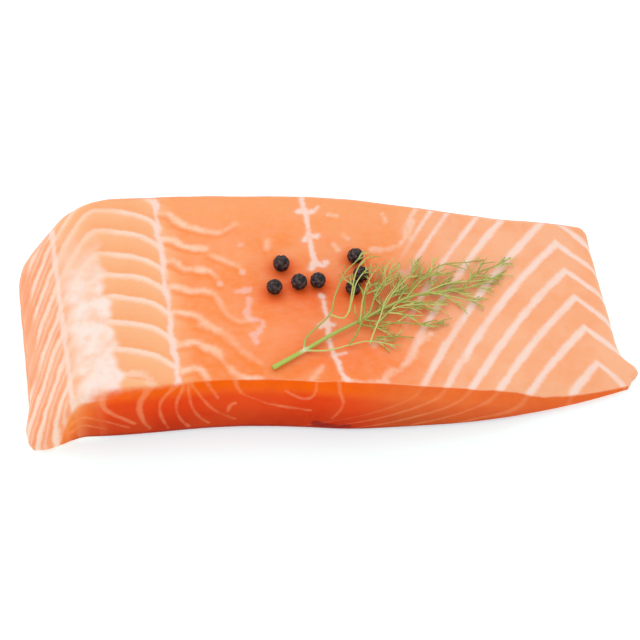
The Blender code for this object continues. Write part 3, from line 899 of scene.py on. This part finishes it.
def flesh_material():
    shader = FleshShader()
    dorsal_line, band_share = shader.dorsal_stripes()
    belly_line = shader.belly_chevrons()
    top = shader.top_colour(shader.bands(band_share), dorsal_line, belly_line)
    turned = shader.ramp(shader.add(shader.cut, shader.times(shader.ragged, 0.25)), 0.05, 0.95)
    colour = shader.mix(turned, top, shader.cut_colour(dorsal_line, belly_line))
    # Painted highlight: a thin pale line along the edge between the top and the cut faces.
    rim = shader.times(shader.ramp(shader.cut, 0.0, 0.35), shader.ramp(shader.cut, 0.75, 0.3))
    rim = shader.fade(shader.fade(rim, shader.patchy, 0.3, 0.55), shader.across, 0.34, 0.4)
    shader.bump(shader.fibre, 0.12, 0.25)
    return shader.finish(
        shader.paint(colour, (rim, 0.5, (254, 192, 156))),
        shader.ramp(shader.noise(4.0, 3.0, shift=3.7), 0.3, 0.7, 0.3, 0.46),
        Subsurface_Weight=0.12,
        Subsurface_Scale=0.0015,
        Subsurface_Radius=(1.0, 0.35, 0.18),
        Specular_IOR_Level=0.05,
    )


def pepper_material():
    shader = Shader("black_pepper")
    blotch = shader.ramp(shader.noise(1.1, 4.0), 0.4, 0.72)
    colour = shader.mix(blotch, srgb(14, 9, 12), srgb(98, 74, 74))
    speck = shader.noise(0.35, 3.0)
    roughness = shader.ramp(speck, 0.3, 0.7, 0.34, 0.6)
    shader.bump(speck, 0.12, 0.5)
    return shader.finish(colour, roughness, Specular_IOR_Level=0.34)


def dill_material():
    shader = Shader("dill")
    tone, base, knot = shader.field("green")
    colour = shader.paint(
        shader.mix(tone, srgb(146, 157, 54), srgb(214, 217, 130)),
        (base, 1.0, (172, 200, 84)),
        (knot, 1.0, (226, 232, 190)),
        (shader.ramp(shader.noise(0.8, 3.0), 0.35, 0.7), 0.35, (200, 208, 112)),
    )
    return shader.finish(colour, 0.5, Subsurface_Weight=0.1, Subsurface_Scale=0.001)


# ---- peppercorns
PEPPER_SUBDIVISIONS = 5
PEPPER_WRINKLE = 0.26
PEPPER_SWELL = 1.09
PEPPER_SINK = 0.35
RIDGE_RATE = 2.1
RIDGE_SHARE = 0.75
FINE_RIDGE_RATE = 4.6
FINE_RIDGE_SHIFT = 1.7


def make_peppercorn(name, node, material):
    """A dried berry in the node's place: a ball with a net of wrinkles, let down onto the flesh."""
    low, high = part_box(node)
    middle = (low + high) / 2.0
    half = (high - low) / 2.0
    ball = bmesh.new()
    bmesh.ops.create_icosphere(ball, subdivisions=PEPPER_SUBDIVISIONS, radius=1.0)
    own = Vector((middle.x, middle.y, half.z)) / MM
    for vertex in ball.verts:
        outward = vertex.co.normalized()
        ridge = 1.0 - abs(noise.noise(outward * RIDGE_RATE + own))
        fine = 1.0 - abs(noise.noise(outward * FINE_RIDGE_RATE + own * FINE_RIDGE_SHIFT))
        dip = PEPPER_WRINKLE * (1.0 - RIDGE_SHARE * ridge**2 - (1.0 - RIDGE_SHARE) * fine**2)
        size = PEPPER_SWELL - dip
        vertex.co = Vector((outward.x * half.x, outward.y * half.y, outward.z * half.z)) * size
    mesh = bpy.data.meshes.new(name)
    ball.to_mesh(mesh)
    ball.free()
    berry = smooth_object(name, mesh, material)
    berry.location = middle - Vector((0.0, 0.0, PEPPER_SINK * MM))
    return berry


# ---- dill
STEM_RADIUS = 0.75
# Route, radius at its start and end, where along it its leaves begin, and how long the first of them are.
STEM = (
    (
        (-13.4, -28.4, 1), (-4.6, -22.2, 1.2), (4.9, -14.9, 1.5), (11.5, -10.2, 1.8), (19.5, -3.8, 2.1),
        (28, 2.2, 2.1), (37.5, 5.9, 1.8), (46.3, 9.4, 1.5), (56, 16.6, 1),
    ),
    STEM_RADIUS, 0.2, 0.36, 10.0,
)
# The same for each branch.
BRANCHES = (
    (
        (
            (-4.6, -22.2, 1.2), (-3.7, -17.6, 1.8), (2.8, -9.4, 2.5), (4.3, -2.8, 3.2), (7.2, 5.2, 4.6),
            (10.7, 10.1, 5.2), (13.4, 15.6, 4.4),
        ),
        0.36, 0.18, 0.62, 6,
    ),
    (
        (
            (2.8, -9.4, 2.5), (7.2, -10.6, 3.2), (9.3, -5.1, 4.6), (10.6, 0.8, 5.8), (13.2, 6.2, 5.6),
            (15.4, 10, 3.6),
        ),
        0.28, 0.16, 0.5, 6,
    ),
    (
        ((-4.6, -22.2, 1.2), (2.2, -21.8, 1.2), (8.5, -19.2, 1.2), (14.3, -17.1, 1.3), (21.8, -17.4, 1.1)),
        0.32, 0.18, 0.72, 5,
    ),
    (
        ((8.5, -19.2, 1.2), (10.9, -14.9, 2.4), (12.9, -8.6, 3.8), (13.2, -3.2, 4.2), (15, 3.5, 4)),
        0.3, 0.16, 0.3, 8,
    ),
    (
        ((14.4, -17.8, 1.2), (15.8, -13.5, 1.8), (17.6, -8.5, 2.8), (19.5, -1.5, 3), (22.5, 4.5, 2.6)),
        0.28, 0.16, 0.15, 9,
    ),
    (
        ((10.2, -11, 1.8), (16.2, -11.6, 1.6), (22.5, -8.9, 1.7), (30, -8.3, 1.5), (36.5, -6.2, 1.1)),
        0.32, 0.17, 0.12, 8,
    ),
    (((18.5, -4.6, 2.1), (22.2, 2.6, 2.9), (27, 9.5, 2.8), (30.2, 16.6, 1.8)), 0.32, 0.17, 0.12, 10),
    (((25.5, 0.8, 2.1), (30, 7.7, 2.6), (36.6, 15.7, 2.2), (45.5, 19.1, 1.4)), 0.32, 0.17, 0.1, 10),
    (((14, -8.4, 1.9), (17, 1, 3.4), (21, 9, 3), (24, 15, 2)), 0.28, 0.16, 0.2, 10),
    (((33, 4.2, 2), (39, 4, 1.8), (46, 3.6, 1.4), (49, 5, 1)), 0.28, 0.16, 0.1, 8),
    (((43, 8, 1.7), (47.6, 14.4, 2), (53.1, 18.4, 1.5), (58.6, 23.5, 1)), 0.3, 0.16, 0.15, 8),
    (((16, -11, 1.6), (22, -4, 2.4), (30, -1, 2.2), (38, 0.5, 1.6)), 0.28, 0.16, 0.15, 9),
    (((16.4, -15.4, 1.4), (22.7, -13.9, 1.1), (27.4, -13.2, 0.8)), 0.26, 0.16, 0.4, 5),
    (((30, 3, 2), (38, 8.5, 2.2), (47, 11.5, 1.6), (54, 14.5, 1)), 0.3, 0.16, 0.1, 8),
    (((8.6, -8.5, 3.6), (9.4, -2, 5.6), (10.6, 4.6, 6.4), (13, 10.4, 6), (16, 14, 4)), 0.28, 0.16, 0.35, 5),
    (((11.6, -11.8, 3), (12.6, -4, 5), (14.6, 3.4, 5.6), (17.4, 10.4, 3.6)), 0.28, 0.16, 0.35, 6),
)
STEM_TAPER = 0.8
STEM_BASE_END = 0.45
STEM_SIDES = 8
BRANCH_SIDES = 6
BRANCH_STEP = 1.0
# The first fork, whose pale knot shows on thick enough tubes.
FORK_PLACE = (-4.6, -22.2)
FORK_REACH = 1.1
FORK_LEAST_RADIUS = 0.3
LEAF_SPACING = 3.4
LEAF_CLUMPS = (0.35, 0.55, 2.1)
LEAF_ANGLE = (10.0, 34.0)
LEAF_SHRINK = 0.5
LEAF_LENGTH_VARIATION = (0.7, 1.1)
LEAF_DROOP = (0.0, 0.28)
LEAF_RADIUS = 0.25
LEAF_RADIUS_VARIATION = (0.75, 1.25)
LEAF_TIP_RADIUS = 0.12
TWIG_CHANCE = 0.5
TWIG_SHARE = (0.42, 0.7)
TWIG_ANGLE = (12.0, 30.0)
TWIG_DROOP = (-0.1, 0.2)
TWIG_RADIUS_SHARE = 0.85
THREAD_SIDES = 5
THREAD_STEP = 1.1
THREAD_FEWEST_STEPS = 3
THREAD_TURN = 0.1
THREAD_LEAST_HEIGHT = 0.35


def tube_mesh(parts, route, start_radius, end_radius, sides, tone):
    """Adds a tapering closed tube to the parts."""
    points, faces, green = parts
    first = len(points)
    count = len(route)
    is_stem = start_radius == STEM_RADIUS
    for index, place in enumerate(route):
        share = index / (count - 1)
        radius = blend(start_radius, end_radius, share**STEM_TAPER)
        ahead = route[min(index + 1, count - 1)] - route[max(index - 1, 0)]
        ahead = ahead / np.linalg.norm(ahead)
        side = np.cross(ahead, (0.0, 0.0, 1.0))
        side = side / max(np.linalg.norm(side), 1e-6)
        over = np.cross(side, ahead)
        base = max(0.0, 1.0 - share / STEM_BASE_END) if is_stem else 0.0
        knot = math.exp(-((math.dist(place[:2], FORK_PLACE) / FORK_REACH) ** 2))
        knot = knot if start_radius > FORK_LEAST_RADIUS else 0.0
        for turn in range(sides):
            angle = 2.0 * math.pi * turn / sides
            points.append(place + radius * (math.cos(angle) * side + math.sin(angle) * over))
            green.append((tone, base, knot))
    rings = first + np.arange(count * sides).reshape(count, sides)
    after = np.roll(rings, -1, axis=1)
    walls = np.stack((rings[:-1], after[:-1], after[1:], rings[1:]), axis=-1)
    faces += walls.reshape(-1, 4).tolist() + [rings[0, ::-1].tolist(), rings[-1].tolist()]


def over_flesh(route):
    """Heights over the flesh become heights over the board."""
    raised = np.array(route, float)
    raised[:, 2] += top_height(raised[:, 0], raised[:, 1])
    return raised


def thread(parts, rng, start, heading, length, radius, clearance, droop):
    """A fine thread that bends a little, and droops to just above the flesh."""
    steps = max(THREAD_FEWEST_STEPS, round(length / THREAD_STEP))
    place = np.array(start, float)
    route = [place.copy()]
    turn = rng.uniform(-THREAD_TURN, THREAD_TURN)
    height = clearance
    headings = [heading]
    for _ in range(steps):
        heading += turn
        height = max(THREAD_LEAST_HEIGHT, height - droop * length / steps)
        place = place + np.array((math.cos(heading), math.sin(heading), 0.0)) * (length / steps)
        place[2] = top_height(place[0], place[1]) + height
        route.append(place.copy())
        headings.append(heading)
    tube_mesh(parts, route, radius, LEAF_TIP_RADIUS, THREAD_SIDES, rng.random())
    return route, headings


def leaf(parts, rng, start, heading, length, clearance):
    """A thread with finer threads branching off it on both sides."""
    radius = LEAF_RADIUS * rng.uniform(*LEAF_RADIUS_VARIATION)
    droop = rng.uniform(*LEAF_DROOP)
    route, headings = thread(parts, rng, start, heading, length, radius, clearance, droop)
    side = rng.choice((-1.0, 1.0))
    for index in range(2, len(route) - 2):
        if rng.random() > TWIG_CHANCE:
            continue
        side = -side
        spread = side * math.radians(rng.uniform(*TWIG_ANGLE))
        above = route[index][2] - top_height(route[index][0], route[index][1])
        short = length * rng.uniform(*TWIG_SHARE)
        droop = rng.uniform(*TWIG_DROOP)
        heading = headings[index] + spread
        thread(parts, rng, route[index], heading, short, radius * TWIG_RADIUS_SHARE, above, droop)


def branch_with_leaves(parts, rng, knots, start_radius, end_radius, leaves_from, first_length):
    fine = smooth_route(knots, BRANCH_STEP)
    route = over_flesh(fine)
    sides = STEM_SIDES if start_radius == STEM_RADIUS else BRANCH_SIDES
    tube_mesh(parts, route, start_radius, end_radius, sides, rng.random())
    lengths = np.concatenate(([0.0], np.cumsum(np.linalg.norm(np.diff(route, axis=0), axis=1))))
    total = lengths[-1]
    place, side = total * leaves_from, 1.0
    while place < total:
        index = min(int(np.searchsorted(lengths, place)), len(route) - 1)
        ahead = route[min(index + 1, len(route) - 1)] - route[max(index - 1, 0)]
        heading = math.atan2(ahead[1], ahead[0]) + side * math.radians(rng.uniform(*LEAF_ANGLE))
        share = (place / total - leaves_from) / (1.0 - leaves_from)
        length = first_length * blend(1.0, LEAF_SHRINK, share) * rng.uniform(*LEAF_LENGTH_VARIATION)
        leaf(parts, rng, route[index], heading, length, fine[index][2])
        place += LEAF_SPACING * rng.choice(LEAF_CLUMPS)
        side = -side


def make_dill(offset, material):
    rng = random.Random(RNG_SEED)
    parts = ([], [], [])
    for branch in (STEM, *BRANCHES):
        branch_with_leaves(parts, rng, *branch)
    points, faces, green = parts
    mesh = bpy.data.meshes.new("dill_frond")
    mesh.from_pydata(((np.array(points) + offset) * MM).tolist(), [], faces)
    set_attribute(mesh, "green", np.array(green).T)
    return smooth_object("dill_frond", mesh, material)


# ---- the studio
WORLD_STRENGTH = 0.92
KEY_POWER = 2.3
KEY_PLACE = (-0.5, 0.6, 1.2)
KEY_SIZE = 0.9
FLOOR_TINTS = ((203, 228, 220), (204, 229, 221))
FLOOR_TINT_SIZE = 90.0
FLOOR_ROUGHNESS = 0.9
FLOOR_GLOW = 1.0
FLOOR_GLOW_COLOUR = (0.434, 0.425, 0.475, 1.0)
FLOOR_REACH = 3.0
FLOOR_GAP = 0.1
CAMERA_ELEVATION = math.radians(50.0)
CAMERA_DISTANCE = 0.56
CAMERA_LENS = 105.0
CAMERA_AIM_HEIGHT = 0.01
CAMERA_CLIP_START = 0.01


def make_camera(offset):
    data = bpy.data.cameras.new("camera")
    data.lens = CAMERA_LENS
    data.clip_start = CAMERA_CLIP_START
    camera = new_object("camera", data)
    back = Vector((0.0, -math.cos(CAMERA_ELEVATION), math.sin(CAMERA_ELEVATION)))
    aim = Vector((offset[0] * MM, offset[1] * MM, CAMERA_AIM_HEIGHT))
    camera.location = aim + back * CAMERA_DISTANCE
    camera.rotation_euler = (math.pi / 2.0 - CAMERA_ELEVATION, 0.0, 0.0)
    bpy.context.scene.camera = camera


def make_key_light():
    data = bpy.data.lights.new("key", "AREA")
    data.shape = "DISK"
    data.size = KEY_SIZE
    data.energy = KEY_POWER
    light = new_object("key", data)
    light.location = KEY_PLACE
    light.rotation_euler = (-Vector(KEY_PLACE)).to_track_quat("-Z", "Y").to_euler()


def make_floor():
    """A lit white table top, so that shadows stay soft and short."""
    shader = Shader("floor")
    tint = shader.mix(shader.noise(FLOOR_TINT_SIZE), *(srgb(*given) for given in FLOOR_TINTS))
    glow = {"Emission_Color": FLOOR_GLOW_COLOUR, "Emission_Strength": FLOOR_GLOW}
    mesh = bpy.data.meshes.new("floor")
    corners = [(x * FLOOR_REACH, y * FLOOR_REACH, 0.0) for x, y in ((-1, -1), (1, -1), (1, 1), (-1, 1))]
    mesh.from_pydata(corners, [], [(0, 1, 2, 3)])
    mesh.materials.append(shader.finish(tint, FLOOR_ROUGHNESS, **glow))
    floor = new_object("floor", mesh)
    floor.location.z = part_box("salmon_fillet")[0].z - FLOOR_GAP * MM


def make_studio():
    world = bpy.data.worlds.new("studio")
    world.use_nodes = True
    background = world.node_tree.nodes["Background"]
    background.inputs["Color"].default_value = (1.0, 1.0, 1.0, 1.0)
    background.inputs["Strength"].default_value = WORLD_STRENGTH
    bpy.context.scene.world = world
    make_key_light()
    make_floor()
    bpy.context.scene.view_settings.view_transform = "Standard"


def place_piece(piece, node):
    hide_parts(node)
    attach(piece, "root")


def main():
    offset = design_offset()
    place_piece(make_flesh(offset, flesh_material()), "salmon_fillet")
    pepper = pepper_material()
    for number in range(1, len(PEPPER_PLACES) + 1):
        node = f"peppercorn_{number}"
        place_piece(make_peppercorn(f"pepper_berry_{number}", node, pepper), node)
    place_piece(make_dill(offset, dill_material()), "dill_sprig")
    make_studio()
    make_camera(offset)


main()
